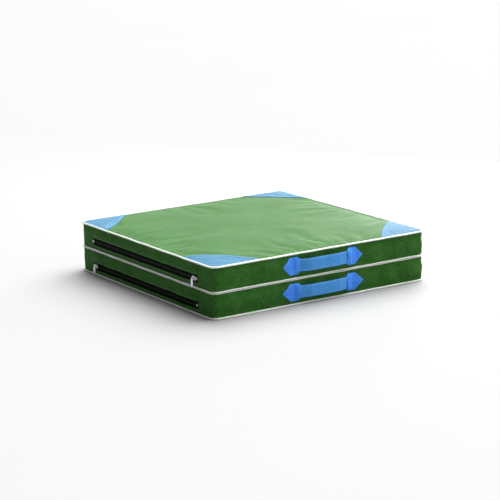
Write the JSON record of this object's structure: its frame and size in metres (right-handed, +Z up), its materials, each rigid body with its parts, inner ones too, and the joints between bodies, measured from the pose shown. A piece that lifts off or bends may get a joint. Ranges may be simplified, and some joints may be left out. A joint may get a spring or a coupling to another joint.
{
  "type": "folding gym mat",
  "caption": "Folding gym mat: foam panels in zipped canvas covers with piping, corner patches and carry handles, joined along one edge by a canvas hinge.",
  "frame": {"origin": "centre of the lower panel's underside, on the surface that the folded mat lies on", "axes": "+Z up through the folded mat, +X to the hinge edge, -X to the zipped ends, -Y to the handles"},
  "size_m": [0.5021, 0.504, 0.1003],
  "materials": {
    "canvas_green": "plain-woven cotton canvas, dull sheen",
    "canvas_blue": "plain-woven cotton canvas, stitched",
    "piping_white": "smooth bias tape over a round cord",
    "foam": "open-cell foam, matte",
    "zip_tape": "black woven zip tape with moulded teeth",
    "zip_metal": "die-cast, bright nickel"
  },
  "bodies": {
    "lower_panel": {"lower_foam_core": "foam", "lower_outer_sheet": "canvas_green", "lower_inner_sheet": "canvas_green", "lower_side_wall": "canvas_green", "lower_outer_piping": "piping_white", "lower_inner_piping": "piping_white", "lower_patch_hinge_back": "canvas_blue", "lower_patch_zip_back": "canvas_blue", "lower_patch_zip_front": "canvas_blue", "lower_patch_hinge_front": "canvas_blue", "lower_zip_facing": "canvas_green", "lower_zip_flap": "canvas_green", "lower_zip_tape_upper": "zip_tape", "lower_zip_tape_lower": "zip_tape", "lower_zip_stop_front": "zip_metal", "lower_zip_stop_back": "zip_metal", "lower_handle_tab_zip_side": "canvas_blue", "lower_handle_tab_hinge_side": "canvas_blue", "lower_hinge_strip_half": "canvas_green"},
    "lower_zip_slider": {"lower_zip_slider": "zip_metal"},
    "lower_zip_pull": {"lower_zip_pull": "zip_metal"},
    "lower_handle": {"lower_handle_strap": "canvas_blue"},
    "upper_panel": {"upper_foam_core": "foam", "upper_outer_sheet": "canvas_green", "upper_inner_sheet": "canvas_green", "upper_side_wall": "canvas_green", "upper_outer_piping": "piping_white", "upper_inner_piping": "piping_white", "upper_patch_hinge_back": "canvas_blue", "upper_patch_zip_back": "canvas_blue", "upper_patch_zip_front": "canvas_blue", "upper_patch_hinge_front": "canvas_blue", "upper_zip_facing": "canvas_green", "upper_zip_flap": "canvas_green", "upper_zip_tape_upper": "zip_tape", "upper_zip_tape_lower": "zip_tape", "upper_zip_stop_front": "zip_metal", "upper_zip_stop_back": "zip_metal", "upper_handle_tab_zip_side": "canvas_blue", "upper_handle_tab_hinge_side": "canvas_blue", "upper_hinge_strip_half": "canvas_green"},
    "upper_zip_slider": {"upper_zip_slider": "zip_metal"},
    "upper_zip_pull": {"upper_zip_pull": "zip_metal"},
    "upper_handle": {"upper_handle_strap": "canvas_blue"}
  },
  "joints": [
    {"name": "unfold", "type": "hinge", "parent": "lower_panel", "child": "upper_panel", "pos_m": [0.2501, 0, 0.05015], "axis": [0, 1, 0], "range_deg": [0, 179.9]},
    {"name": "lower_zip_run", "type": "slide", "parent": "lower_panel", "child": "lower_zip_slider", "axis": [0, -1, 0], "range_m": [0, 0.367]},
    {"name": "lower_pull_swing", "type": "hinge", "parent": "lower_zip_slider", "child": "lower_zip_pull", "pos_m": [-0.2504, 0.1835, 0.018], "axis": [0, 1, 0], "range_deg": [0, 170]},
    {"name": "lower_handle_lift", "type": "slide", "parent": "lower_panel", "child": "lower_handle", "axis": [0, -1, 0], "range_m": [0, 0.018]},
    {"name": "upper_zip_run", "type": "slide", "parent": "upper_panel", "child": "upper_zip_slider", "axis": [0, 1, 0], "range_m": [0, 0.367]},
    {"name": "upper_pull_swing", "type": "hinge", "parent": "upper_zip_slider", "child": "upper_zip_pull", "pos_m": [-0.2504, -0.1835, 0.0683], "axis": [0, 1, 0], "range_deg": [0, 170]},
    {"name": "upper_handle_lift", "type": "slide", "parent": "upper_panel", "child": "upper_handle", "axis": [0, -1, 0], "range_m": [0, 0.018]}
  ]
}
